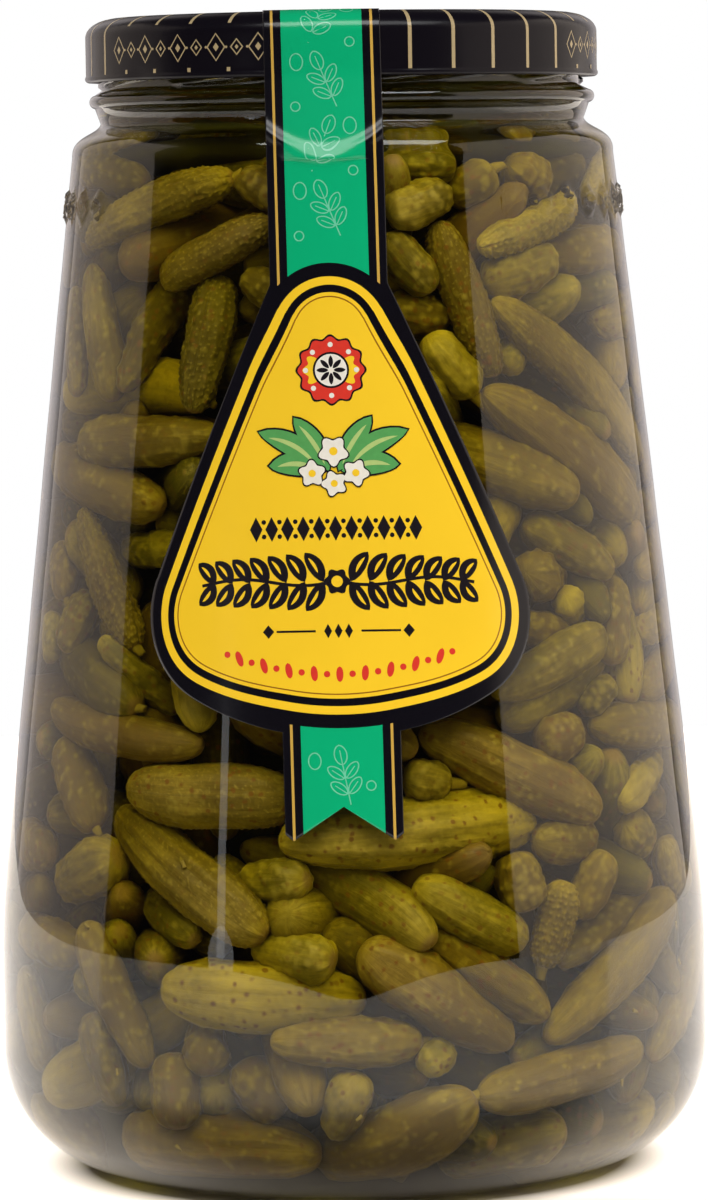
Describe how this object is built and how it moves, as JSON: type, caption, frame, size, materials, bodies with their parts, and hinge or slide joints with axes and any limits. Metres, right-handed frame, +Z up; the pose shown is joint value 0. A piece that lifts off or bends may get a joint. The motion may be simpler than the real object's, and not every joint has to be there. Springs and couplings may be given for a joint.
{
  "type": "pickle jar",
  "caption": "Tall cone-shaped glass jar packed with pickled gherkins, shut with a dark twist-off lid, with a rounded triangular paper label whose strip seals the lid.",
  "frame": {"origin": "centre of the base, on the surface that the jar stands on", "axes": "+Z up along the jar, the label faces -Y"},
  "size_m": [0.1434, 0.1434, 0.2332],
  "materials": {
    "glass": "clear, thick, smooth",
    "lid_lacquer": "dark satin lacquer with fine pale gold stripes",
    "label_paper": "coated print in yellow, black and green",
    "gherkin_skin": "wet, speckled olive skin"
  },
  "bodies": {
    "root": {"jar_glass": "glass", "lid": "lid_lacquer", "label": "label_paper", "gherkins": "gherkin_skin"}
  },
  "joints": []
}
